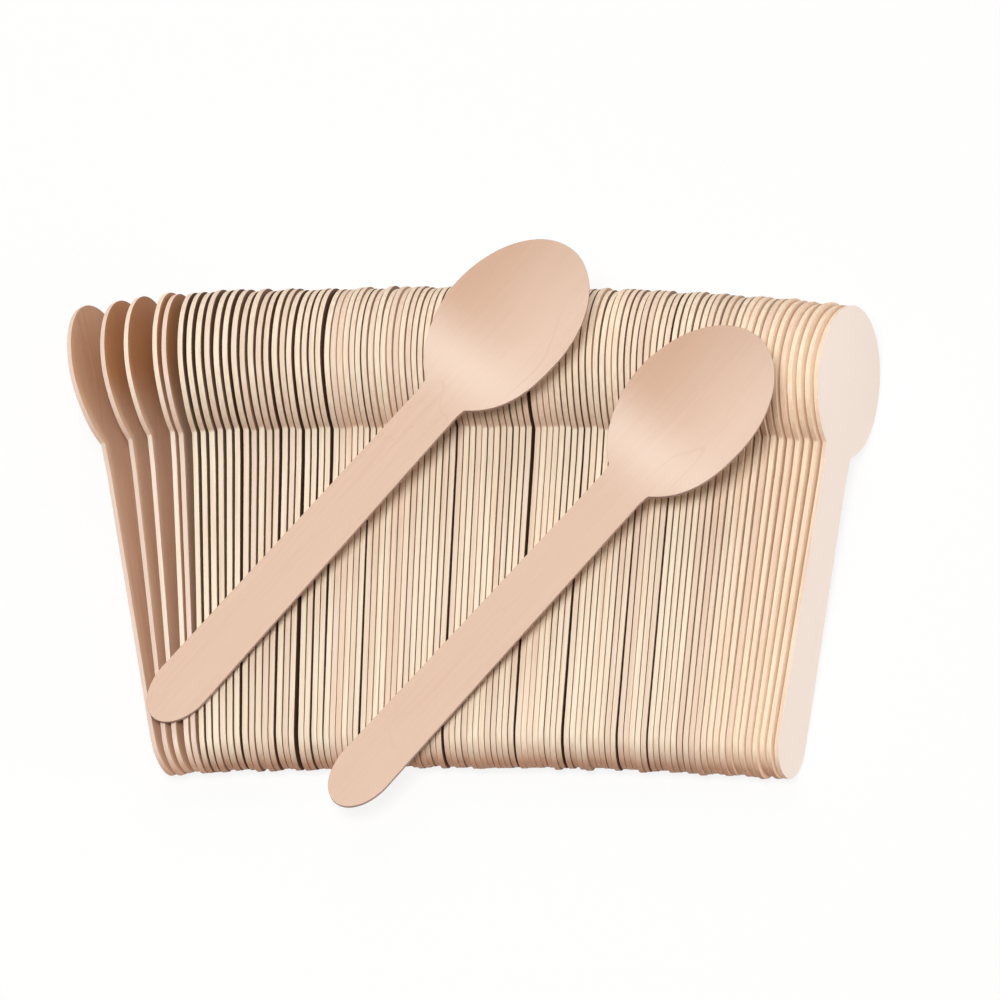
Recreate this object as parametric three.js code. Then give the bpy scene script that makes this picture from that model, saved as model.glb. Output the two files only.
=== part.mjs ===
// Pack of disposable wooden spoons, in millimetres, +Z up.
// A row of nested dessert spoons lies on its long edges, bowls to the back (+Y), and leans to the left (-X).
// Two larger table spoons lie face up across the top of the row.
// The origin is under the middle of the pack, on the table.
import * as THREE from 'three';

// Dessert spoon of the row: cut from veneer and pressed.
const ROW_SPOON = {
  length: 140,
  bowlHalfLength: 22.6,
  bowlHalfWidth: 14.8,
  neckHalfWidth: 5.5,
  handleHalfWidth: 6.25,
  endRound: 10,
  thickness: 1.38,
  dishDepth: 1.2,
  rimRise: 0.2,
};

// Table spoon laid on the row: the same pattern, one size up.
const LOOSE_SPOON = {
  length: 174,
  bowlHalfLength: 28,
  bowlHalfWidth: 18.6,
  neckHalfWidth: 6.7,
  handleHalfWidth: 7.8,
  endRound: 12.4,
  thickness: 1.5,
  dishDepth: 6,
  rimRise: 3,
};

// The cut ends are blunt by this half width.
const BLUNT_HALF_WIDTH = 1.6;

// Row: pairs of spoons that stand close together, and one spoon that closes the right end.
const PAIR_COUNT = 46;
// Share of the first facet of the handle ends over which a pair is grown together.
const FUSED_SHARE = 0.5;
// Free gaps between neighbours, measured square to the veneer.
const HANDLE_GAP = 0.1;
const BOWL_GAP = 0.17;
// Share by which each gap is wider or narrower than that.
const GAP_SCATTER = 0.8;
// The spoons stand further apart by this much at the left end, less with each of the first spoons.
const LEFT_OPENING = { handle: 0.33, bowl: 0.83, spoons: 18 };
// Fan of the first spoon of the closed row: run to the right over length.
const START_FAN = -0.045;
// Lean of the row, in degrees from upright, and how much more its last spoons lean at the right end.
const ROW_LEAN = 19;
const END_LEAN = 20;
const END_LEAN_SPOONS = 22;
// The row bows: its handle ends come forward by this much at the right end, from its crest at a share of the row.
const ROW_BOW = 3.2;
const BOW_CREST = 0.4;
// Spoons stick out at the handle end by up to this much.
const END_SCATTER = 0.5;

// Places where the row gapes: spoon number in the row, extra gap at the handles and at the bowls.
const WIDE_GAPS = [
  { after: 6, handle: 0.3, bowl: 0.1 },
  { after: 11, handle: 0.35, bowl: 0.1 },
  { after: 14, handle: 0.85, bowl: 0.25 },
  { after: 16, handle: 0.3, bowl: 0 },
  { after: 18, handle: 0.05, bowl: 0.6 },
  { after: 24, handle: 0.3, bowl: 0 },
  { after: 38, handle: 0.55, bowl: 0.2 },
  { after: 50, handle: 0.3, bowl: 0.7 },
  { after: 58, handle: 0.55, bowl: 0.1 },
  { after: 67, handle: 0.3, bowl: 0 },
  { after: 72, handle: 0.3, bowl: 0.1 },
];

// Spoons that have fallen open at the left end, from the row outwards.
// Each has its gap to the right neighbour at the handles and at the bowls, and its lean in degrees.
const SPLAYED = [
  { handle: 0.12, bowl: 1.5, lean: 21.2 },
  { handle: 0.12, bowl: 0.36, lean: 22.2 },
  { handle: 0.12, bowl: 2.6, lean: 27.7 },
  { handle: 0.12, bowl: 2.2, lean: 31.2 },
  { handle: 0.12, bowl: 3.9, lean: 34.8 },
];

// Loose spoons: handle end in plan, from the left handle end of the closed row, and heading in degrees from +X.
const LOOSE_PLACES = [
  { name: 'loose_spoon_left', x: -15, y: 11.4, heading: 48.4 },
  { name: 'loose_spoon_right', x: 34.5, y: -12.3, heading: 47.9 },
];
// Gap left where a loose spoon rests on the row.
const REST_GAP = 0.3;
// Balance point of a spoon, as a share of its length from the handle end.
const BALANCE_SHARE = 0.58;

// Points along an upper edge of the row that a loose spoon is tried on.
const EDGE_POINTS = 48;

// Facets: columns across a blade, and steps along its end, handle and bowl.
const ROW_FACETS = { columns: 2, end: 2, handle: 1, bowl: 5 };
const LOOSE_FACETS = { columns: 6, end: 3, handle: 2, bowl: 13 };

const birchVeneer = new THREE.MeshStandardMaterial({ color: 0xe8cab2, roughness: 0.7, metalness: 0 });
const birchEdge = new THREE.MeshStandardMaterial({ color: 0xf3dcc0, roughness: 0.75, metalness: 0 });

const radians = THREE.MathUtils.degToRad;

// Repeatable scatter between -1 and 1 for spoon number k.
function scatter(k, seed) {
  const wave = Math.sin(k * 12.9898 + seed * 78.233) * 43758.5453;
  return 2 * (wave - Math.floor(wave)) - 1;
}

// Distance from the handle end to the middle of the bowl.
function bowlCentre(spoon) {
  return spoon.length - spoon.bowlHalfLength;
}

// Distance from the handle end to the neck, where the handle runs into the oval of the bowl.
function neckStation(spoon) {
  const share = spoon.neckHalfWidth / spoon.bowlHalfWidth;
  return bowlCentre(spoon) - spoon.bowlHalfLength * Math.sqrt(1 - share * share);
}

// Half width of the cut outline: rounded end, tapered handle, oval bowl.
function halfWidth(spoon, s) {
  const neck = neckStation(spoon);
  if (s > neck) {
    const q = (s - bowlCentre(spoon)) / spoon.bowlHalfLength;
    return Math.max(BLUNT_HALF_WIDTH, spoon.bowlHalfWidth * Math.sqrt(Math.max(0, 1 - q * q)));
  }
  if (s < spoon.endRound) {
    const q = 1 - s / spoon.endRound;
    return Math.max(BLUNT_HALF_WIDTH, spoon.handleHalfWidth * Math.sqrt(1 - q * q));
  }
  const run = (s - spoon.endRound) / (neck - spoon.endRound);
  return THREE.MathUtils.lerp(spoon.handleHalfWidth, spoon.neckHalfWidth, run);
}

// Height of the pressed veneer over the flat handle: the bowl sinks in the middle and its rim rises.
function pressedHeight(spoon, s, w) {
  const centre = bowlCentre(spoon);
  const sink = THREE.MathUtils.smoothstep(s, neckStation(spoon), centre);
  const across = w / spoon.bowlHalfWidth;
  const along = Math.max(0, s - centre) / spoon.bowlHalfLength;
  return sink * (spoon.dishDepth * across * across - spoon.dishDepth + spoon.rimRise)
    + spoon.dishDepth * along * along;
}

// Distances from the handle end at which the outline has a point.
function stations(spoon, facets) {
  const list = [];
  for (let i = 0; i < facets.end; i += 1) {
    list.push(spoon.endRound * (1 - Math.cos((Math.PI / 2) * (i / facets.end))));
  }
  const neck = neckStation(spoon);
  for (let i = 0; i < facets.handle; i += 1) {
    list.push(THREE.MathUtils.lerp(spoon.endRound, neck, i / facets.handle));
  }
  const neckAngle = Math.acos((neck - bowlCentre(spoon)) / spoon.bowlHalfLength);
  for (let i = 0; i <= facets.bowl; i += 1) {
    const angle = neckAngle * (1 - i / facets.bowl);
    list.push(bowlCentre(spoon) + spoon.bowlHalfLength * Math.cos(angle));
  }
  return list;
}

// Point of a spoon standing on its edge: handle end at the origin, tip to +Y, hollow side to -X.
// across runs from -1 at the lower edge to 1 at the upper edge, face is -0.5 or 0.5.
function bladePoint(spoon, s, across, face) {
  const w = across * halfWidth(spoon, s);
  return new THREE.Vector3(face * spoon.thickness - pressedHeight(spoon, s, w), s, w);
}

// Box grid that blades are bent from: columns across, steps along, two faces. Below turn it runs down a blade.
// Both faces of every blade are split along the same diagonals, mirrored about the middle of the blade.
function bladeGrid(columns, steps, turn) {
  const geometry = new THREE.BoxGeometry(2, steps, 1, columns, steps, 1);
  const grid = geometry.attributes.position;
  const [front, back] = geometry.groups.slice(-2);
  for (const { start, count } of [front, back]) {
    for (let i = start; i < start + count; i += 6) {
      const [a, b, d, , c] = geometry.index.array.slice(i, i + 6);
      const isUpper = grid.getX(a) + grid.getX(d) > 0;
      const isFront = start === front.start;
      const runsDown = grid.getY(a) + grid.getY(b) < 2 * turn;
      if ((isUpper === isFront) !== runsDown) {
        geometry.index.array.set([a, b, c, a, c, d], i);
      }
    }
  }
  return geometry;
}

// One blade as a bent grid.
function bladeGeometry(spoon, facets) {
  const list = stations(spoon, facets);
  const steps = list.length - 1;
  const geometry = bladeGrid(facets.columns, steps, -steps);
  const grid = geometry.attributes.position;
  for (let i = 0; i < grid.count; i += 1) {
    const row = Math.round(grid.getY(i) + steps / 2);
    const point = bladePoint(spoon, list[row], -grid.getX(i), grid.getZ(i));
    grid.setXYZ(i, point.x, point.y, point.z);
  }
  geometry.computeVertexNormals();
  return geometry;
}

// Two blades grown together at their handle ends: one bent grid that runs down the left blade and up the right.
function pairGeometry(spoon, facets, toRight) {
  const list = stations(spoon, facets);
  const last = list.length - 1;
  const steps = 2 * last + 1;
  const geometry = bladeGrid(facets.columns, steps, 0);
  const grid = geometry.attributes.position;
  for (let i = 0; i < grid.count; i += 1) {
    const row = Math.round(grid.getY(i) + steps / 2);
    const isLeft = row <= last;
    const isInner = grid.getZ(i) < 0;
    const station = list[isLeft ? last - row : row - last - 1];
    const s = isInner ? Math.max(station, FUSED_SHARE * list[1]) : station;
    const face = isLeft === isInner ? 0.5 : -0.5;
    const point = bladePoint(spoon, s, -grid.getX(i), face);
    if (!isLeft) {
      point.applyMatrix4(toRight);
    }
    grid.setXYZ(i, point.x, point.y, point.z);
  }
  geometry.computeVertexNormals();
  return geometry;
}

// Rise of a leaning spoon whose handle end and bowl rim both touch the table.
function riseAngle(spoon, lean) {
  const drop = (spoon.bowlHalfWidth - spoon.handleHalfWidth) * Math.cos(lean) + spoon.rimRise * Math.sin(lean);
  return Math.atan2(drop, bowlCentre(spoon) - spoon.endRound);
}

// Matrix that stands a spoon of the row on the table, handle end at x, y.
function rowMatrix(spoon, place) {
  const rise = riseAngle(spoon, place.lean);
  const turn = new THREE.Euler(rise, -place.lean, -Math.atan(place.fan), 'ZXY');
  const matrix = new THREE.Matrix4().makeRotationFromEuler(turn);
  const lowEdge = bladePoint(spoon, spoon.endRound, -1, -0.5).applyMatrix4(matrix);
  matrix.setPosition(place.x, place.y, -lowEdge.z);
  return matrix;
}

// Steps along X from one spoon to the next that leave the given gaps at the handles and at the bowls.
// Leaning bowls are set off from each other along their width too, so the slope of the rim takes up part of the
// step. At the tip the scatter of the ends does, and a change of lean brings neighbours closer at one edge.
// Where the bowls stand further apart than the handles, the handle ends come closer.
function rowSteps(spoon, lean, nextLean, handleGap, bowlGap) {
  const rimSlope = (2 * spoon.dishDepth) / spoon.bowlHalfWidth;
  const tipSlope = (2 * spoon.dishDepth) / spoon.bowlHalfLength;
  const steepest = Math.max(lean, nextLean);
  const closing = Math.abs(Math.tan(nextLean) - Math.tan(lean));
  const flat = (spoon.thickness + handleGap) / Math.cos(steepest) + spoon.handleHalfWidth * closing;
  const rim = (spoon.thickness + bowlGap) / (Math.cos(steepest) - rimSlope * Math.sin(steepest));
  const tip = (spoon.thickness + bowlGap + 2 * END_SCATTER * tipSlope) / Math.cos(steepest);
  const bowl = Math.max(rim, tip) + (spoon.bowlHalfWidth + spoon.dishDepth) * closing;
  const fanning = Math.max(0, bowl - flat) / (bowlCentre(spoon) - spoon.endRound);
  return { handle: flat + spoon.endRound * fanning, bowl };
}

// How far the handle end at a share of the row's length lies behind the crest of its bow.
function bow(share) {
  const run = (share - BOW_CREST) / (1 - BOW_CREST);
  return -ROW_BOW * run * run;
}

// Places of all spoons of the row, from the left end: x, y, lean and fan of each handle end.
function rowPlaces(spoon) {
  const arm = bowlCentre(spoon) - spoon.endRound;
  const count = 2 * PAIR_COUNT + 1;
  const closed = [];
  let handleX = 0;
  let bowlX = START_FAN * arm;
  let lastLean = radians(ROW_LEAN);
  for (let k = 0; k < count; k += 1) {
    const ramp = Math.max(0, (k - count + END_LEAN_SPOONS) / END_LEAN_SPOONS);
    const lean = radians(ROW_LEAN + END_LEAN * ramp * ramp);
    if (k > 0) {
      const wide = WIDE_GAPS.find((gap) => gap.after === k) ?? { handle: 0, bowl: 0 };
      const share = Math.max(0, 1 - k / LEFT_OPENING.spoons);
      const handleOpening = wide.handle + LEFT_OPENING.handle * share;
      const bowlOpening = wide.bowl + LEFT_OPENING.bowl * share;
      const handleGap = HANDLE_GAP * (1 + GAP_SCATTER * scatter(k, 1)) + handleOpening;
      const bowlGap = BOWL_GAP * (1 + GAP_SCATTER * scatter(k, 2)) + bowlOpening;
      const step = rowSteps(spoon, lastLean, lean, handleGap, bowlGap);
      handleX += step.handle;
      bowlX += step.bowl;
    }
    lastLean = lean;
    const fan = (bowlX - handleX) / arm;
    const y = bow(k / count) + END_SCATTER * scatter(k, 3);
    closed.push({ x: handleX - fan * (spoon.endRound - y), y, lean, fan });
  }
  const splayed = [];
  handleX = 0;
  bowlX = START_FAN * arm;
  lastLean = radians(ROW_LEAN);
  SPLAYED.forEach((gap, i) => {
    const lean = radians(gap.lean);
    const step = rowSteps(spoon, lastLean, lean, gap.handle, gap.bowl);
    handleX -= step.handle;
    bowlX -= step.bowl;
    lastLean = lean;
    const fan = (bowlX - handleX) / arm;
    const y = bow(-(i + 1) / count) + END_SCATTER * scatter(i, 4);
    splayed.unshift({ x: handleX - fan * (spoon.endRound - y), y, lean, fan });
  });
  return { splayed, closed };
}

// Points along the upper edges of the row, on which the loose spoons come to rest.
function upperEdges(spoon, matrices) {
  const points = [];
  for (const matrix of matrices) {
    for (let i = 0; i <= EDGE_POINTS; i += 1) {
      for (const face of [-0.5, 0.5]) {
        points.push(bladePoint(spoon, (spoon.length * i) / EDGE_POINTS, 1, face).applyMatrix4(matrix));
      }
    }
  }
  return points;
}

// Matrix of a loose spoon lying hollow side up. It touches the row on both sides of its balance point:
// of all lines through a support before it and one behind it, the highest one carries the spoon.
function looseMatrix(spoon, place, supports) {
  const heading = radians(place.heading);
  const balance = BALANCE_SHARE * spoon.length;
  const before = [];
  const behind = [];
  for (const point of supports) {
    const dx = point.x - place.x;
    const dy = point.y - place.y;
    const s = dx * Math.cos(heading) + dy * Math.sin(heading);
    const w = dy * Math.cos(heading) - dx * Math.sin(heading);
    if (s > 0 && s < spoon.length && Math.abs(w) < halfWidth(spoon, s)) {
      const height = point.z + spoon.thickness / 2 + REST_GAP - pressedHeight(spoon, s, w);
      (s < balance ? before : behind).push({ s, height });
    }
  }
  let level = -Infinity;
  let slope = 0;
  for (const low of before) {
    for (const high of behind) {
      const grade = (high.height - low.height) / (high.s - low.s);
      const middle = low.height + grade * (balance - low.s);
      if (middle > level) {
        level = middle;
        slope = grade;
      }
    }
  }
  const tilt = Math.atan(slope);
  const along = new THREE.Vector3(
    Math.cos(heading) * Math.cos(tilt), Math.sin(heading) * Math.cos(tilt), Math.sin(tilt));
  const side = new THREE.Vector3(Math.sin(heading), -Math.cos(heading), 0);
  const up = new THREE.Vector3().crossVectors(side, along);
  const matrix = new THREE.Matrix4().makeBasis(up.negate(), along, side);
  matrix.setPosition(place.x, place.y, level - slope * balance);
  return matrix;
}

function addPiece(group, name, geometry, material, matrix) {
  const mesh = new THREE.Mesh(geometry, material);
  mesh.name = name;
  matrix.decompose(mesh.position, mesh.quaternion, mesh.scale);
  group.add(mesh);
}

function twoDigits(number) {
  return String(number).padStart(2, '0');
}

function buildPack() {
  const pack = new THREE.Group();
  const { splayed, closed } = rowPlaces(ROW_SPOON);
  const splayedMatrices = splayed.map((place) => rowMatrix(ROW_SPOON, place));
  const closedMatrices = closed.map((place) => rowMatrix(ROW_SPOON, place));

  splayedMatrices.forEach((matrix, i) => {
    addPiece(pack, `splayed_spoon_${i + 1}`, bladeGeometry(ROW_SPOON, ROW_FACETS), birchVeneer, matrix);
  });
  for (let i = 0; i < PAIR_COUNT; i += 1) {
    const left = closedMatrices[2 * i];
    const toRight = left.clone().invert().multiply(closedMatrices[2 * i + 1]);
    const geometry = pairGeometry(ROW_SPOON, ROW_FACETS, toRight);
    addPiece(pack, `row_pair_${twoDigits(i + 1)}`, geometry, birchEdge, left);
  }
  addPiece(pack, 'end_spoon', bladeGeometry(ROW_SPOON, ROW_FACETS), birchVeneer, closedMatrices.at(-1));

  const supports = upperEdges(ROW_SPOON, [...splayedMatrices, ...closedMatrices]);
  for (const place of LOOSE_PLACES) {
    const matrix = looseMatrix(LOOSE_SPOON, place, supports);
    addPiece(pack, place.name, bladeGeometry(LOOSE_SPOON, LOOSE_FACETS), birchVeneer, matrix);
  }

  const box = new THREE.Box3().setFromObject(pack, true);
  const middle = box.getCenter(new THREE.Vector3());
  pack.position.set(-middle.x, -middle.y, -box.min.z);
  return pack;
}

export default buildPack();
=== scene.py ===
import math

import bpy
import numpy as np
from mathutils import Matrix, Vector


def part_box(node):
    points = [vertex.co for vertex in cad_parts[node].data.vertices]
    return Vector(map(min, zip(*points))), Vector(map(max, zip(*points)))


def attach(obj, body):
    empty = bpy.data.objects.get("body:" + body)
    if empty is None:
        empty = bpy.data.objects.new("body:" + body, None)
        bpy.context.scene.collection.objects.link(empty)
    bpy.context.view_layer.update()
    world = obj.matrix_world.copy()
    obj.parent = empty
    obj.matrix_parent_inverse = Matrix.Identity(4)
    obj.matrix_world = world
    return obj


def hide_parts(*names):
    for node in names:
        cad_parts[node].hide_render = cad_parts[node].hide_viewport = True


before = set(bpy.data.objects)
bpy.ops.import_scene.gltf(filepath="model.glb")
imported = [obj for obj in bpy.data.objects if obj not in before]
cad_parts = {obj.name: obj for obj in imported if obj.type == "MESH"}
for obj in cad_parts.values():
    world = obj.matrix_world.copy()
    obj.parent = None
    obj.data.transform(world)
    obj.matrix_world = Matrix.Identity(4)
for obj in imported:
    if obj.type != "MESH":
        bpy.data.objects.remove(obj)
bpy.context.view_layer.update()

MM = 0.001

# Dessert spoon of the row: cut from birch veneer and pressed.
ROW_SPOON = {
    "length": 140 * MM,
    "bowl_half_length": 22.6 * MM,
    "bowl_half_width": 14.8 * MM,
    "neck_half_width": 5.5 * MM,
    "handle_half_width": 6.25 * MM,
    "end_round": 10 * MM,
    "thickness": 1.38 * MM,
    "dish_depth": 1.2 * MM,
    "rim_rise": 0.2 * MM,
}

# Table spoon laid on the row: the same pattern, one size up.
LOOSE_SPOON = {
    "length": 174 * MM,
    "bowl_half_length": 28 * MM,
    "bowl_half_width": 18.6 * MM,
    "neck_half_width": 6.7 * MM,
    "handle_half_width": 7.8 * MM,
    "end_round": 12.4 * MM,
    "thickness": 1.5 * MM,
    "dish_depth": 6 * MM,
    "rim_rise": 3 * MM,
}

# Row: pairs of spoons, and one spoon that closes the right end.
PAIR_COUNT = 46
CLOSED_COUNT = 2 * PAIR_COUNT + 1
HANDLE_GAP = 0.1 * MM
BOWL_GAP = 0.17 * MM
GAP_SCATTER = 0.8
LEFT_HANDLE_OPENING = 0.33 * MM
LEFT_BOWL_OPENING = 0.83 * MM
LEFT_OPENING_SPOONS = 18
START_FAN = -0.045
ROW_LEAN = math.radians(19)
END_LEAN = math.radians(20)
END_LEAN_SPOONS = 22
ROW_BOW = 3.2 * MM
BOW_CREST = 0.4
END_SCATTER = 0.5 * MM

# Places where the row gapes: spoon number to extra gap at the handles and at the bowls.
WIDE_GAPS = {
    6: (0.3 * MM, 0.1 * MM),
    11: (0.35 * MM, 0.1 * MM),
    14: (0.85 * MM, 0.25 * MM),
    16: (0.3 * MM, 0),
    18: (0.05 * MM, 0.6 * MM),
    24: (0.3 * MM, 0),
    38: (0.55 * MM, 0.2 * MM),
    50: (0.3 * MM, 0.7 * MM),
    58: (0.55 * MM, 0.1 * MM),
    67: (0.3 * MM, 0),
    72: (0.3 * MM, 0.1 * MM),
}

# Spoons fallen open at the left end, from the row outwards: gap at the handles, gap at the bowls, lean.
SPLAYED = [
    (0.12 * MM, 1.5 * MM, math.radians(21.2)),
    (0.12 * MM, 0.36 * MM, math.radians(22.2)),
    (0.12 * MM, 2.6 * MM, math.radians(27.7)),
    (0.12 * MM, 2.2 * MM, math.radians(31.2)),
    (0.12 * MM, 3.9 * MM, math.radians(34.8)),
]

# Loose spoons: handle end in plan from the left handle end of the closed row, and heading from +X.
LOOSE_PLACES = {
    "loose_spoon_left": (-15 * MM, 11.4 * MM, math.radians(48.4)),
    "loose_spoon_right": (34.5 * MM, -12.3 * MM, math.radians(47.9)),
}
REST_GAP = 0.3 * MM
BALANCE_SHARE = 0.58
EDGE_POINTS = 48

# Veneer differs in thickness from spoon to spoon: least and most share of the free gap beside it that it
# fills, and the widest gap that counts.
VENEER_FILL = (0.3, 0.95)
FILLED_GAP_LIMIT = 0.26 * MM

# Fillet where the handle runs into the bowl, and its reach as a share of the bowl's half length.
NECK_FILLET = 0.9 * MM
NECK_FILLET_REACH = 0.3
# Sanded corners of the cut edge, as a share of the thickness. The power keeps the cut's colour on the corner.
CORNER_SHARE = 0.045
CORNER_STEPS = 2
CUT_COLOUR_POWER = 4
# End grain shows between these slopes of the outline to the blade's length, less at the neck and at the tip
# than at the handle end. Its brown is partly real end grain and partly painted shade on the neck slopes and the
# handle ends.
END_GRAIN_SLOPES = (0.2, 0.8)
NECK_END_GRAIN_AND_SHADE = 0.65
TIP_END_GRAIN_AND_SHADE = 0.25

# Steps along the end, the handle and the bowl of a blade, and columns across it.
CAD_STEPS = {"end": 2, "handle": 1, "bowl": 5}
ROW_STEPS = {"end": 12, "handle": 10, "bowl": 40, "columns": 8}
LOOSE_STEPS = {"end": 24, "handle": 40, "bowl": 90, "columns": 44}

# Camera: it looks along +Y and down on a point over the table.
CAMERA_TARGET = Vector((6.58, 13.39, 8.1)) * MM
CAMERA_DISTANCE = 1300 * MM
CAMERA_ELEVATION = math.radians(66)
CAMERA_LENS = 168.34
CAMERA_SENSOR = 36


# Large odd factors make the sine of a spoon's number look like chance. Each use has its own seed.
NUMBER_FACTOR = 12.9898
SEED_FACTOR = 78.233
WAVE_FACTOR = 43758.5453
SEEDS = {
    "handle_gap": 1,
    "bowl_gap": 2,
    "row_end": 3,
    "splayed_end": 4,
    "edge_tone": 5,
    "splayed_tone": 6,
    "veneer_fill": 7,
    "face_tone": 8,
}


# Repeatable scatter between -1 and 1 for spoon number k.
def scatter(k, use):
    wave = math.sin(k * NUMBER_FACTOR + SEEDS[use] * SEED_FACTOR) * WAVE_FACTOR
    return 2 * (wave - math.floor(wave)) - 1


# The same between 0 and 1.
def chance(k, use):
    return 0.5 + 0.5 * scatter(k, use)


# Distance from the handle end to the middle of the bowl.
def bowl_centre(spoon):
    return spoon["length"] - spoon["bowl_half_length"]


# Distance from the handle end to the neck, where the handle runs into the oval of the bowl.
def neck_station(spoon):
    share = spoon["neck_half_width"] / spoon["bowl_half_width"]
    return bowl_centre(spoon) - spoon["bowl_half_length"] * math.sqrt(1 - share * share)


# Half widths of the oval bowl and of the tapered handle with its rounded end, at distances s from the end.
def outline_halves(spoon, s):
    q = (s - bowl_centre(spoon)) / spoon["bowl_half_length"]
    bowl = spoon["bowl_half_width"] * np.sqrt(np.maximum(0, 1 - q * q))
    run = (s - spoon["end_round"]) / (neck_station(spoon) - spoon["end_round"])
    taper = spoon["neck_half_width"] - spoon["handle_half_width"]
    handle = spoon["handle_half_width"] + taper * np.maximum(0, run)
    q = np.maximum(0, 1 - s / spoon["end_round"])
    handle = handle * np.sqrt(np.maximum(0, 1 - q * q))
    return bowl, handle


def half_width(spoon, s):
    bowl, handle = outline_halves(spoon, s)
    return np.where(s > neck_station(spoon), bowl, handle)


# The same outline with a fillet at the neck.
def filleted_half_width(spoon, s):
    bowl, handle = outline_halves(spoon, s)
    rounded = (bowl + handle + np.sqrt((bowl - handle) ** 2 + NECK_FILLET**2)) / 2
    from_neck = (s - neck_station(spoon)) / (NECK_FILLET_REACH * spoon["bowl_half_length"])
    near_neck = np.exp(-(from_neck**2))
    return half_width(spoon, s) * (1 - near_neck) + rounded * near_neck


# Height of the pressed veneer over the flat handle: the bowl sinks in the middle and its rim rises.
def pressed_height(spoon, s, w):
    centre = bowl_centre(spoon)
    neck = neck_station(spoon)
    run = np.clip((s - neck) / (centre - neck), 0, 1)
    sink = run * run * (3 - 2 * run)
    across = w / spoon["bowl_half_width"]
    along = np.maximum(0, s - centre) / spoon["bowl_half_length"]
    dish = spoon["dish_depth"]
    return sink * (dish * across * across - dish + spoon["rim_rise"]) + dish * along * along


# Distances from the handle end at which the outline has a point.
def stations(spoon, steps):
    neck = neck_station(spoon)
    end_angles = np.linspace(0, math.pi / 2, steps["end"], endpoint=False)
    end = spoon["end_round"] * (1 - np.cos(end_angles))
    handle = np.linspace(spoon["end_round"], neck, steps["handle"], endpoint=False)
    neck_angle = math.acos((neck - bowl_centre(spoon)) / spoon["bowl_half_length"])
    bowl_angles = np.linspace(neck_angle, 0, steps["bowl"] + 1)
    bowl = bowl_centre(spoon) + spoon["bowl_half_length"] * np.cos(bowl_angles)
    return np.concatenate([end, handle, bowl])


# Points of a spoon standing on its edge: handle end at the origin, tip to +Y, hollow side to -X.
# s is the distance from the handle end, w the one from the middle line, t the one from the middle face.
def blade_points(spoon, s, w, t):
    return np.stack([t - pressed_height(spoon, s, w), s, w], axis=-1)


# Sanded edge from one face over the cut to the other: distance in from the outline, and from the middle face.
def edge_profile(thickness):
    radius = CORNER_SHARE * thickness
    flat = thickness / 2 - radius
    angles = np.linspace(math.pi / 2, 0, CORNER_STEPS + 1)
    upper = [(radius * (1 - math.cos(a)), flat + radius * math.sin(a)) for a in angles]
    return upper + [(inset, -t) for inset, t in reversed(upper)]


# A whole blade: rings round its cut edge, and a grid of columns over each face.
# Each point keeps its place on the flat veneer, how much it belongs to the cut edge and to end grain with its
# painted shade, and, where it lies on the rim of a corner, the number of its ring.
def blade_shape(spoon, steps, veneer_share):
    s = stations(spoon, steps)
    half = filleted_half_width(spoon, s)
    half[0] = half[-1] = 0
    last = len(s) - 1
    outline = np.stack([
        np.concatenate([s, s[-2:0:-1]]),
        np.concatenate([half, -half[-2:0:-1]]),
    ], axis=-1)
    ring_size = len(outline)
    tangent = np.roll(outline, -1, 0) - np.roll(outline, 1, 0)
    tangent /= np.linalg.norm(tangent, axis=1, keepdims=True)
    inward = np.stack([tangent[:, 1], -tangent[:, 0]], axis=-1)

    # The cut crosses the grain where the outline turns off the length of the blade.
    gentle, steep = END_GRAIN_SLOPES
    cross = np.clip((np.abs(tangent[:, 1]) - gentle) / (steep - gentle), 0, 1)
    # Less end grain and painted shade at the neck and at the tip than at the handle end.
    cross = np.where(outline[:, 0] > spoon["end_round"], NECK_END_GRAIN_AND_SHADE, 1) * cross
    cross = np.where(outline[:, 0] > bowl_centre(spoon), TIP_END_GRAIN_AND_SHADE / NECK_END_GRAIN_AND_SHADE, 1) * cross

    profile = edge_profile(veneer_share * spoon["thickness"])
    deepest = profile[0][0]
    places = []
    cut = []
    for inset, t in profile:
        ring = outline + inset * inward
        places.append(np.column_stack([ring, np.full(ring_size, t)]))
        cut.append(np.full(ring_size, 1 - (inset / deepest) ** CUT_COLOUR_POWER))
    faces = []
    for r in range(len(profile) - 1):
        here = r * ring_size
        beyond = here + ring_size
        for i in range(ring_size):
            j = (i + 1) % ring_size
            faces.append((here + i, here + j, beyond + j, beyond + i))

    count = ring_size * len(profile)
    columns = steps["columns"]
    shares = np.linspace(0, 1, columns + 1)[1:-1, None]
    for ring, is_front in ((0, True), (len(profile) - 1, False)):
        base = ring * ring_size
        rows = [[base]]
        for i in range(1, last):
            right = places[ring][i]
            left = places[ring][ring_size - i]
            places.append(right + (left - right) * shares)
            cut.append(np.zeros(columns - 1))
            rows.append([base + i, *range(count, count + columns - 1), base + ring_size - i])
            count += columns - 1
        rows.append([base + last])
        for lower, upper in zip(rows, rows[1:]):
            for c in range(columns):
                corners = (
                    lower[min(c, len(lower) - 1)],
                    lower[min(c + 1, len(lower) - 1)],
                    upper[min(c + 1, len(upper) - 1)],
                    upper[min(c, len(upper) - 1)],
                )
                face = tuple(dict.fromkeys(corners))
                faces.append(face if is_front else face[::-1])
    flat = np.concatenate(places)
    points = blade_points(spoon, flat[:, 0], flat[:, 1], flat[:, 2])
    corner_rings = (0, CORNER_STEPS, CORNER_STEPS + 1, len(profile) - 1)
    ring_of = np.full(len(flat), -1)
    for ring in corner_rings:
        ring_of[ring * ring_size:(ring + 1) * ring_size] = ring
    across_grain = np.zeros(len(flat))
    across_grain[:ring_size * len(profile)] = np.tile(cross, len(profile))
    return {
        "points": points, "flat": flat, "faces": faces, "ring_of": ring_of,
        "cut": np.concatenate(cut), "cross": across_grain,
    }


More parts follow.
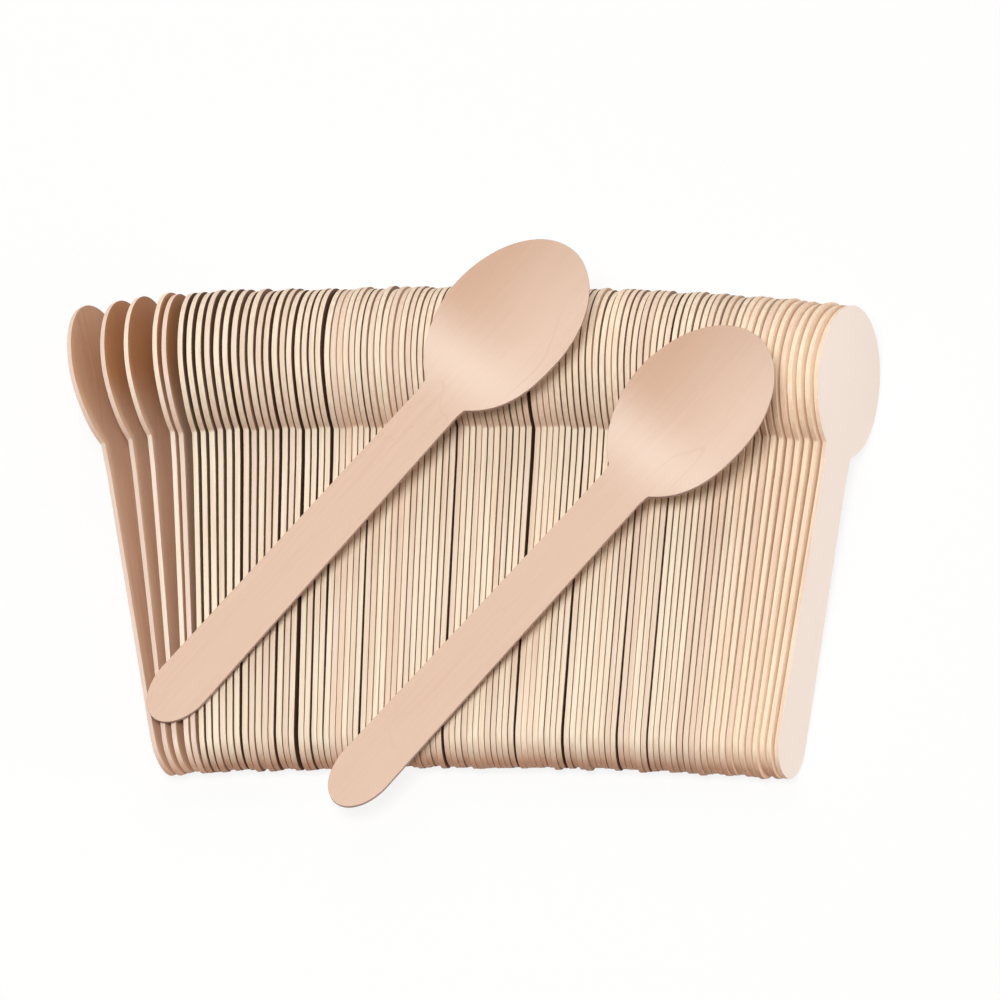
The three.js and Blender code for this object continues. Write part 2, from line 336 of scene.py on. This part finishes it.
# Rise of a leaning spoon whose handle end and bowl rim both touch the table.
def rise_angle(spoon, lean):
    wider = spoon["bowl_half_width"] - spoon["handle_half_width"]
    drop = wider * math.cos(lean) + spoon["rim_rise"] * math.sin(lean)
    return math.atan2(drop, bowl_centre(spoon) - spoon["end_round"])


# Matrix that stands a spoon of the row on the table, handle end at x, y.
def row_matrix(spoon, x, y, lean, fan):
    turn = Matrix.Rotation(-math.atan(fan), 4, "Z")
    rise = Matrix.Rotation(rise_angle(spoon, lean), 4, "X")
    tip = Matrix.Rotation(-lean, 4, "Y")
    matrix = turn @ rise @ tip
    low_edge = Vector((-spoon["thickness"] / 2, spoon["end_round"], -spoon["handle_half_width"]))
    matrix.translation = Vector((x, y, -(matrix @ low_edge).z))
    return matrix


# Steps along X from one spoon to the next that leave the given gaps at the handles and at the bowls.
def row_steps(spoon, lean, next_lean, handle_gap, bowl_gap):
    rim_slope = 2 * spoon["dish_depth"] / spoon["bowl_half_width"]
    tip_slope = 2 * spoon["dish_depth"] / spoon["bowl_half_length"]
    steepest = max(lean, next_lean)
    closing = abs(math.tan(next_lean) - math.tan(lean))
    flat = (spoon["thickness"] + handle_gap) / math.cos(steepest)
    flat += spoon["handle_half_width"] * closing
    rim = (spoon["thickness"] + bowl_gap) / (math.cos(steepest) - rim_slope * math.sin(steepest))
    tip = (spoon["thickness"] + bowl_gap + 2 * END_SCATTER * tip_slope) / math.cos(steepest)
    bowl = max(rim, tip) + (spoon["bowl_half_width"] + spoon["dish_depth"]) * closing
    fanning = max(0, bowl - flat) / (bowl_centre(spoon) - spoon["end_round"])
    return flat + spoon["end_round"] * fanning, bowl


# How far the handle end at a share of the row's length lies behind the crest of its bow.
def bow(share):
    run = (share - BOW_CREST) / (1 - BOW_CREST)
    return -ROW_BOW * run * run


# Matrices of the closed row, from its left end, and the free gap before each spoon and after the last.
def closed_matrices(spoon):
    arm = bowl_centre(spoon) - spoon["end_round"]
    matrices = []
    gaps = [SPLAYED[0][0]]
    handle_x = 0
    bowl_x = START_FAN * arm
    last_lean = ROW_LEAN
    for k in range(CLOSED_COUNT):
        ramp = max(0, (k - CLOSED_COUNT + END_LEAN_SPOONS) / END_LEAN_SPOONS)
        lean = ROW_LEAN + END_LEAN * ramp * ramp
        if k > 0:
            wide_handle, wide_bowl = WIDE_GAPS.get(k, (0, 0))
            share = max(0, 1 - k / LEFT_OPENING_SPOONS)
            handle_gap = HANDLE_GAP * (1 + GAP_SCATTER * scatter(k, "handle_gap")) + wide_handle
            handle_gap += LEFT_HANDLE_OPENING * share
            bowl_gap = BOWL_GAP * (1 + GAP_SCATTER * scatter(k, "bowl_gap")) + wide_bowl
            bowl_gap += LEFT_BOWL_OPENING * share
            handle_step, bowl_step = row_steps(spoon, last_lean, lean, handle_gap, bowl_gap)
            handle_x += handle_step
            bowl_x += bowl_step
            gaps.append(min(handle_gap, bowl_gap))
        last_lean = lean
        fan = (bowl_x - handle_x) / arm
        y = bow(k / CLOSED_COUNT) + END_SCATTER * scatter(k, "row_end")
        matrices.append(row_matrix(spoon, handle_x - fan * (spoon["end_round"] - y), y, lean, fan))
    return matrices, gaps + [0]


# Matrices of the spoons fallen open at the left end, from the outermost.
def splayed_matrices(spoon):
    arm = bowl_centre(spoon) - spoon["end_round"]
    matrices = []
    handle_x = 0
    bowl_x = START_FAN * arm
    last_lean = ROW_LEAN
    for i, (handle_gap, bowl_gap, lean) in enumerate(SPLAYED):
        handle_step, bowl_step = row_steps(spoon, last_lean, lean, handle_gap, bowl_gap)
        handle_x -= handle_step
        bowl_x -= bowl_step
        last_lean = lean
        fan = (bowl_x - handle_x) / arm
        y = bow(-(i + 1) / CLOSED_COUNT) + END_SCATTER * scatter(i, "splayed_end")
        matrices.insert(0, row_matrix(spoon, handle_x - fan * (spoon["end_round"] - y), y, lean, fan))
    return matrices


def transformed(points, matrix):
    m = np.array(matrix)
    return points @ m[:3, :3].T + m[:3, 3]


# Points along the upper edges of the row, on which the loose spoons come to rest.
def upper_edges(spoon, matrices):
    s = np.linspace(0, spoon["length"], EDGE_POINTS + 1)
    w = half_width(spoon, s)
    t = np.full(len(s), spoon["thickness"] / 2)
    edges = np.concatenate([blade_points(spoon, s, w, t), blade_points(spoon, s, w, -t)])
    return np.concatenate([transformed(edges, matrix) for matrix in matrices])


# Matrix of a loose spoon lying hollow side up on the row, touching it on both sides of its balance point.
def loose_matrix(spoon, x, y, heading, supports):
    dx = supports[:, 0] - x
    dy = supports[:, 1] - y
    s = dx * math.cos(heading) + dy * math.sin(heading)
    w = dy * math.cos(heading) - dx * math.sin(heading)
    under = (s > 0) & (s < spoon["length"]) & (np.abs(w) < half_width(spoon, s))
    s = s[under]
    height = supports[under, 2] + spoon["thickness"] / 2 + REST_GAP - pressed_height(spoon, s, w[under])
    balance = BALANCE_SHARE * spoon["length"]
    low = s < balance
    grade = (height[~low] - height[low, None]) / (s[~low] - s[low, None])
    level = height[low, None] + grade * (balance - s[low, None])
    highest = np.unravel_index(np.argmax(level), level.shape)
    slope = grade[highest]
    tilt = math.atan(slope)
    level_run = math.cos(tilt)
    along = Vector((math.cos(heading) * level_run, math.sin(heading) * level_run, math.sin(tilt)))
    side = Vector((math.sin(heading), -math.cos(heading), 0))
    matrix = Matrix((-side.cross(along), along, side)).transposed().to_4x4()
    matrix.translation = Vector((x, y, level[highest] - slope * balance))
    return matrix


# Shift from the row's own start to the frame: the end spoon's box tells where the pack lies.
def pack_shift(end_matrix):
    s = stations(ROW_SPOON, CAD_STEPS)
    s, across, face = (grid.ravel() for grid in np.meshgrid(s, [-1, 0, 1], [-0.5, 0.5]))
    w = across * half_width(ROW_SPOON, s)
    corners = transformed(blade_points(ROW_SPOON, s, w, face * ROW_SPOON["thickness"]), end_matrix)
    low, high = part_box("end_spoon")
    return Matrix.Translation((low + high) / 2 - Vector((corners.min(0) + corners.max(0)) / 2))


# Linear colour with alpha from an sRGB hex value.
def colour(hex_value):
    channels = [int(hex_value[i:i + 2], 16) / 255 for i in (1, 3, 5)]
    return [c / 12.92 if c <= 0.04045 else ((c + 0.055) / 1.055) ** 2.4 for c in channels] + [1]


# Adds a shader node with its settings, and links or sets its inputs.
def add(tree, kind, inputs=None, **settings):
    node = tree.nodes.new(kind)
    for name, value in settings.items():
        setattr(node, name, value)
    for name, value in (inputs or {}).items():
        if isinstance(value, bpy.types.NodeSocket):
            tree.links.new(value, node.inputs[name])
        else:
            node.inputs[name].default_value = value
    return node


# Emptied node tree of a material or of the world.
def bare_tree(owner):
    owner.use_nodes = True
    owner.node_tree.nodes.clear()
    return owner.node_tree


# 1 for the rays that see the white background: the camera's own, and those by way of gloss or glass.
def white_rays(tree):
    path = add(tree, "ShaderNodeLightPath")
    seen = path.outputs["Is Camera Ray"]
    for ray in ("Is Glossy Ray", "Is Transmission Ray"):
        seen = add(tree, "ShaderNodeMath", {0: seen, 1: path.outputs[ray]}, operation="MAXIMUM").outputs[0]
    return seen


# Rotary cut birch veneer, pressed hot and sanded, left raw.
# It gives the eye a smooth warm tan face with faint streaks along the blade and short fine pores,
# a paler cream cut edge that differs from spoon to spoon (on the loose spoons a dark mauve brown that paints
# shade on the edge), and browner end grain where the cut crosses the fibres. The end grain's brown is partly
# real and partly painted shade, laid on the neck slopes and the handle ends.
# Tones: pressed face, its grain, the palest face, cut edge, tanner cut edge, streaks in it, end grain with
# painted shade.
# The row's faces are a dark brown that paints the shade between the spoons, and the open spoons' faces a
# lighter brown that paints the shade between them. The end spoon's outer face is the birch's pale face with a
# painted sheen, nearly white.
TONE_PARTS = ("face", "face_dark", "face_pale", "edge", "edge_tan", "edge_dark", "end_grain_and_shade")
BIRCH_TONES = {
    # Row: its faces are a dark brown, painted shade between the spoons.
    "row_birch_veneer": ("#5c3a28", "#54341f", "#f0d0b2", "#fff1d9", "#f3dcc8", "#e2be9c", "#b88a6e"),
    # End spoon: its outer face is the birch's pale face with a painted sheen, nearly white.
    "end_birch_veneer": ("#f3e2d6", "#e8d0be", "#f5e5da", "#fff1dc", "#f3dcc8", "#e2be9c", "#d8b8a0"),
    # Open spoons: their faces are brown, painted shade between them.
    "open_birch_veneer": ("#b27a50", "#a06a44", "#ffe2c8", "#fff0de", "#f2dacc", "#e6c8b0", "#d0a68c"),
    # Loose spoons: their cut edges are a dark mauve brown, painted shade on the edges that face away from the
    # light.
    "loose_birch_veneer": ("#d7b298", "#d0a98e", "#eed6c4", "#b4968a", "#a8887c", "#947468", "#a08074"),
}
# Length along the blade, width across it and levels of detail of each pattern.
# Real pores are about 0.1 mm wide: they are drawn wider so that they show.
# The figure is the hairline of the growth rings, in long flat bends.
PATTERNS = {
    "fibre": (26 * MM, 0.9 * MM, 3),
    "cloud": (70 * MM, 11 * MM, 1),
    "pore": (3.2 * MM, 0.28 * MM, 1),
    "figure": (60 * MM, 16 * MM, 1),
}
# Noise values between which a streak, a cloud or a pore fades in.
PATTERN_SPANS = {"fibre": (0.35, 0.75), "cloud": (0.3, 0.7), "pore": (0.66, 0.8)}
# Shift of the patterns from one spoon to the next, so that no two are alike.
PATTERN_SHIFT = 22 * MM
STREAK_STRENGTH = 0.55
EDGE_STREAK_STRENGTH = 0.5
# Share of the grain that is left on the palest face.
PALE_GRAIN = 0.15
# A hairline lies where the figure's noise passes its middle value, this closely.
NOISE_MIDDLE = 0.5
HAIRLINE_SPAN = 0.008
HAIRLINE_STRENGTH = 0.4
BUMP_DEPTH = 0.03 * MM
BUMP_STRENGTH = 0.35
VENEER_ROUGHNESS = (0.58, 0.74)
WOOD_IOR = 1.5


def birch_veneer(name, has_figure=False):
    material = bpy.data.materials.new(name)
    tree = bare_tree(material)
    tint = dict(zip(TONE_PARTS, map(colour, BIRCH_TONES[name])))
    flat = add(tree, "ShaderNodeAttribute", attribute_name="flat").outputs["Vector"]
    cut, cross, tone, pale = (
        add(tree, "ShaderNodeAttribute", attribute_name=label).outputs["Fac"]
        for label in ("cut", "cross", "tone", "pale")
    )

    patterns = {}
    for pattern, (length, width, detail) in PATTERNS.items():
        if pattern == "figure" and not has_figure:
            continue
        scale = (1 / length, 1 / width, 1 / width)
        place = add(tree, "ShaderNodeVectorMath", {0: flat, 1: scale}, operation="MULTIPLY").outputs[0]
        noise = add(tree, "ShaderNodeTexNoise", {"Vector": place, "Scale": 1, "Detail": detail})
        patterns[pattern] = noise.outputs["Fac"]
    streak, cloud, pore = (
        add(tree, "ShaderNodeMapRange", {
            "Value": patterns[pattern], "From Min": low, "From Max": high,
        }).outputs[0]
        for pattern, (low, high) in PATTERN_SPANS.items()
    )

    grain = add(tree, "ShaderNodeMath", {
        0: streak, 1: STREAK_STRENGTH, 2: pore,
    }, operation="MULTIPLY_ADD").outputs[0]
    grain = add(tree, "ShaderNodeMath", {0: grain, 1: cloud}, operation="MULTIPLY").outputs[0]
    clear = add(tree, "ShaderNodeMapRange", {"Value": pale, "To Min": 1, "To Max": PALE_GRAIN}).outputs[0]
    grain = add(tree, "ShaderNodeMath", {0: grain, 1: clear}, operation="MULTIPLY").outputs[0]
    if has_figure:
        ripple = add(tree, "ShaderNodeMath", {
            0: patterns["figure"], 1: NOISE_MIDDLE,
        }, operation="SUBTRACT").outputs[0]
        ripple = add(tree, "ShaderNodeMath", {0: ripple}, operation="ABSOLUTE").outputs[0]
        hairline = add(tree, "ShaderNodeMapRange", {
            "Value": ripple, "From Min": 0, "From Max": HAIRLINE_SPAN, "To Min": HAIRLINE_STRENGTH, "To Max": 0,
        }).outputs[0]
        hairline = add(tree, "ShaderNodeMath", {0: hairline, 1: cloud}, operation="MULTIPLY").outputs[0]
        grain = add(tree, "ShaderNodeMath", {0: grain, 1: hairline}, operation="MAXIMUM").outputs[0]
    face = add(tree, "ShaderNodeMixRGB", {
        "Fac": pale, "Color1": tint["face"], "Color2": tint["face_pale"],
    }).outputs[0]
    face = add(tree, "ShaderNodeMixRGB", {
        "Fac": grain, "Color1": face, "Color2": tint["face_dark"],
    }).outputs[0]

    lines = add(tree, "ShaderNodeMath", {0: streak, 1: EDGE_STREAK_STRENGTH}, operation="MULTIPLY").outputs[0]
    edge = add(tree, "ShaderNodeMixRGB", {
        "Fac": tone, "Color1": tint["edge"], "Color2": tint["edge_tan"],
    }).outputs[0]
    edge = add(tree, "ShaderNodeMixRGB", {
        "Fac": lines, "Color1": edge, "Color2": tint["edge_dark"],
    }).outputs[0]
    edge = add(tree, "ShaderNodeMixRGB", {
        "Fac": cross, "Color1": edge, "Color2": tint["end_grain_and_shade"],
    }).outputs[0]
    skin = add(tree, "ShaderNodeMixRGB", {"Fac": cut, "Color1": face, "Color2": edge}).outputs[0]

    relief = add(tree, "ShaderNodeMath", {0: patterns["fibre"], 1: pore}, operation="SUBTRACT").outputs[0]
    bump = add(tree, "ShaderNodeBump", {
        "Height": relief, "Strength": BUMP_STRENGTH, "Distance": BUMP_DEPTH,
    }).outputs[0]
    smoothest, roughest = VENEER_ROUGHNESS
    rough = add(tree, "ShaderNodeMapRange", {
        "Value": patterns["fibre"], "To Min": smoothest, "To Max": roughest,
    }).outputs[0]
    shader = add(tree, "ShaderNodeBsdfPrincipled", {
        "Base Color": skin, "Roughness": rough, "IOR": WOOD_IOR, "Normal": bump,
    })
    add(tree, "ShaderNodeOutputMaterial", {"Surface": shader.outputs[0]})
    return material


# Face tones are shares of the palest face; what a row or splayed face lacks of it is painted shade between the
# spoons.
# An ordinary face of the row, and the most that chance adds to it.
ROW_PALE = 0.19
ROW_PALE_CHANCE = 0.7
# Handles of the splayed spoons, and the bowl of the outermost one: less painted shade where they stand open.
SPLAYED_HANDLE_PALE = 0.45
OUTERMOST_BOWL_PALE = 0.2
# Loose spoons: the plain face, and its painted shade drift across the hollow, darker on one wall and paler on
# the other, from the middle line to this share of the half width.
LOOSE_PALE = 0.38
LOOSE_SHADE_DRIFT = 0.34
LOOSE_SHADE_DRIFT_REACH = 0.75
# Their painted highlight behind the neck: its tone, what it loses to one side, and its place behind the neck
# and its reach, as shares of the bowl's half length.
PAINTED_HIGHLIGHT_PALE = 0.62
PAINTED_HIGHLIGHT_SIDE_LOSS = 0.2
PAINTED_HIGHLIGHT_PLACE = 0.36
PAINTED_HIGHLIGHT_REACH = 0.34
# Cut edges: the power makes tan ones rarer than cream ones, and the second loose spoon is a little tanner.
EDGE_TONE_POWER = 3
LOOSE_EDGE_TONE = 0.3


# Share of the way from the neck into the bowl, with soft ends.
def into_bowl(spoon, s):
    neck = neck_station(spoon)
    run = np.clip((s - neck) / (bowl_centre(spoon) - neck), 0, 1)
    return run * run * (3 - 2 * run)


# Tone over a spoon of the row: its bowl and its handle get different shares of the painted shade between the
# spoons.
def row_face_tone(shape, handle_pale, bowl_pale):
    run = into_bowl(ROW_SPOON, shape["flat"][:, 0])
    return handle_pale + (bowl_pale - handle_pale) * run


# Tones of the handle and the bowl of spoon k of the closed row, where dark is painted shade in the gaps: dark
# beside a gape and in the bowls of the open left end, mixed at random along the row, and paler towards the
# right end, where the painted shade fades out.
def row_pale(k):
    pale = 0
    if k + 1 not in WIDE_GAPS:
        pale = ROW_PALE
        if k > LEFT_OPENING_SPOONS:
            pale += ROW_PALE_CHANCE * max(0, scatter(k, "face_tone"))
    pale = min(1, pale + max(0, 1 - (CLOSED_COUNT - 1 - k) / END_LEAN_SPOONS))
    return pale, pale * min(1, k / LEFT_OPENING_SPOONS)


# Tone over a loose spoon, with painted shade and a painted highlight: it drifts from darker to paler across the
# hollow bowl, as light falls on its walls, and a painted highlight lies behind the neck.
def loose_face_tone(shape):
    s, w = shape["flat"][:, 0], shape["flat"][:, 1]
    across = np.clip(w / (LOOSE_SHADE_DRIFT_REACH * LOOSE_SPOON["bowl_half_width"]), -1, 1)
    shade_drift = LOOSE_SHADE_DRIFT * into_bowl(LOOSE_SPOON, s) * across
    behind_neck = (s - neck_station(LOOSE_SPOON)) / LOOSE_SPOON["bowl_half_length"] - PAINTED_HIGHLIGHT_PLACE
    painted_highlight = PAINTED_HIGHLIGHT_PALE - PAINTED_HIGHLIGHT_SIDE_LOSS * np.maximum(0, across)
    return np.clip(LOOSE_PALE + shade_drift + painted_highlight * np.exp(-((behind_neck / PAINTED_HIGHLIGHT_REACH) ** 2)), 0, 1)


# One spoon as a mesh in the frame.
def spoon_piece(name, node, shape, matrix, material, number, tone, pale):
    mesh = bpy.data.meshes.new(name)
    mesh.from_pydata(transformed(shape["points"], matrix), [], shape["faces"])
    mesh.polygons.foreach_set("use_smooth", np.ones(len(mesh.polygons), bool))
    ends = np.empty(2 * len(mesh.edges), np.int32)
    mesh.edges.foreach_get("vertices", ends)
    first, second = shape["ring_of"][ends.reshape(-1, 2)].T
    mesh.edges.foreach_set("use_edge_sharp", (first == second) & (first >= 0))
    flat = shape["flat"] + (0, 0, number * PATTERN_SHIFT)
    mesh.attributes.new("flat", "FLOAT_VECTOR", "POINT").data.foreach_set("vector", flat.ravel())
    for label, values in (
        ("cut", shape["cut"]),
        ("cross", shape["cross"]),
        ("tone", np.full(len(mesh.vertices), tone)),
        ("pale", pale),
    ):
        mesh.attributes.new(label, "FLOAT", "POINT").data.foreach_set("value", values)
    mesh.materials.append(material)
    piece = bpy.data.objects.new(name, mesh)
    bpy.context.scene.collection.objects.link(piece)
    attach(piece, "root")
    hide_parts(node)


def make_spoons():
    closed, gaps = closed_matrices(ROW_SPOON)
    splayed = splayed_matrices(ROW_SPOON)
    shift = pack_shift(closed[-1])
    supports = upper_edges(ROW_SPOON, splayed + closed)

    row_birch = birch_veneer("row_birch_veneer")
    end_birch = birch_veneer("end_birch_veneer")
    open_birch = birch_veneer("open_birch_veneer")
    loose_birch = birch_veneer("loose_birch_veneer", has_figure=True)

    shape = blade_shape(ROW_SPOON, ROW_STEPS, 1)
    for i, matrix in enumerate(splayed):
        number = i + 1
        # The splayed bowls carry full painted shade, the outermost one less.
        bowl_pale = OUTERMOST_BOWL_PALE if i == 0 else 0
        spoon_piece(
            f"splayed_birch_spoon_{number}", f"splayed_spoon_{number}",
            shape, shift @ matrix, open_birch, number, chance(i, "splayed_tone"),
            row_face_tone(shape, SPLAYED_HANDLE_PALE, bowl_pale))

    least, most = VENEER_FILL
    for k, matrix in enumerate(closed):
        is_end = k == CLOSED_COUNT - 1
        node = "end_spoon" if is_end else f"row_pair_{k // 2 + 1:02d}"
        fill = least + (most - least) * chance(k, "veneer_fill")
        filled = fill * min(FILLED_GAP_LIMIT, *gaps[k:k + 2])
        shape = blade_shape(ROW_SPOON, ROW_STEPS, 1 + filled / ROW_SPOON["thickness"])
        spoon_piece(
            f"row_birch_spoon_{k + 1:02d}", node,
            shape, shift @ matrix, end_birch if is_end else row_birch, len(splayed) + k + 1,
            chance(k, "edge_tone") ** EDGE_TONE_POWER, row_face_tone(shape, *row_pale(k)))

    shape = blade_shape(LOOSE_SPOON, LOOSE_STEPS, 1)
    for i, (node, place) in enumerate(LOOSE_PLACES.items()):
        matrix = loose_matrix(LOOSE_SPOON, *place, supports)
        spoon_piece(
            f"{node}_birch", node,
            shape, shift @ matrix, loose_birch, i, LOOSE_EDGE_TONE * i, loose_face_tone(shape))


# White table and room: the share of plain white in what is seen of the table, and the room's dim light.
WHITE = (1, 1, 1, 1)
TABLE_PAINT = "#fafafa"
TABLE_WHITE_SHARE = 0.86
FLOOR_HALF = 3
ROOM_TINT = "#fffaf8"
ROOM_LEVEL = 0.2

# Soft boxes: place in metres, side in metres and power in watts.
LAMP_TINT = "#fffdfb"
SOFT_BOXES = {
    "key_above": ((-0.22, -0.2, 1.28), 0.45, 12),
    "window_back": ((-0.1, 1.3, 0.8), 1, 6.7),
    "fill_right": ((1.25, -0.1, 0.28), 0.4, 4.4),
}


# Plain table, painted matt white: the eye sees it white with a faint shadow of the pack.
def make_floor():
    material = bpy.data.materials.new("white_table")
    tree = bare_tree(material)
    share = add(tree, "ShaderNodeMath", {
        0: white_rays(tree), 1: TABLE_WHITE_SHARE,
    }, operation="MULTIPLY").outputs[0]
    table = add(tree, "ShaderNodeBsdfDiffuse", {"Color": colour(TABLE_PAINT)})
    white = add(tree, "ShaderNodeEmission", {"Color": WHITE, "Strength": 1})
    mixed = add(tree, "ShaderNodeMixShader", {0: share, 1: table.outputs[0], 2: white.outputs[0]})
    add(tree, "ShaderNodeOutputMaterial", {"Surface": mixed.outputs[0]})

    mesh = bpy.data.meshes.new("floor")
    corners = [(x * FLOOR_HALF, y * FLOOR_HALF, 0) for x, y in ((-1, -1), (1, -1), (1, 1), (-1, 1))]
    mesh.from_pydata(corners, [], [(0, 1, 2, 3)])
    mesh.materials.append(material)
    floor = bpy.data.objects.new("floor", mesh)
    bpy.context.scene.collection.objects.link(floor)


# Dim room light that is seen as white.
def make_world():
    world = bpy.data.worlds.new("studio")
    bpy.context.scene.world = world
    tree = bare_tree(world)
    room = add(tree, "ShaderNodeBackground", {"Color": colour(ROOM_TINT), "Strength": ROOM_LEVEL})
    white = add(tree, "ShaderNodeBackground", {"Color": WHITE, "Strength": 1})
    mixed = add(tree, "ShaderNodeMixShader", {0: white_rays(tree), 1: room.outputs[0], 2: white.outputs[0]})
    add(tree, "ShaderNodeOutputWorld", {"Surface": mixed.outputs[0]})


# Square soft boxes that face the pack.
def make_lights():
    for name, (place, side, power) in SOFT_BOXES.items():
        lamp = bpy.data.lights.new(name, "AREA")
        lamp.size = side
        lamp.energy = power
        lamp.color = colour(LAMP_TINT)[:3]
        box = bpy.data.objects.new(name, lamp)
        box.location = place
        box.rotation_euler = (-Vector(place)).to_track_quat("-Z", "Y").to_euler()
        bpy.context.scene.collection.objects.link(box)


def make_camera():
    data = bpy.data.cameras.new("camera")
    data.lens = CAMERA_LENS
    data.sensor_width = CAMERA_SENSOR
    camera = bpy.data.objects.new("camera", data)
    back = Vector((0, -math.cos(CAMERA_ELEVATION), math.sin(CAMERA_ELEVATION)))
    camera.location = CAMERA_TARGET + CAMERA_DISTANCE * back
    camera.rotation_euler = (math.pi / 2 - CAMERA_ELEVATION, 0, 0)
    bpy.context.scene.collection.objects.link(camera)
    bpy.context.scene.camera = camera


make_camera()
make_spoons()
make_floor()
make_world()
make_lights()
bpy.context.scene.view_settings.view_transform = "Standard"
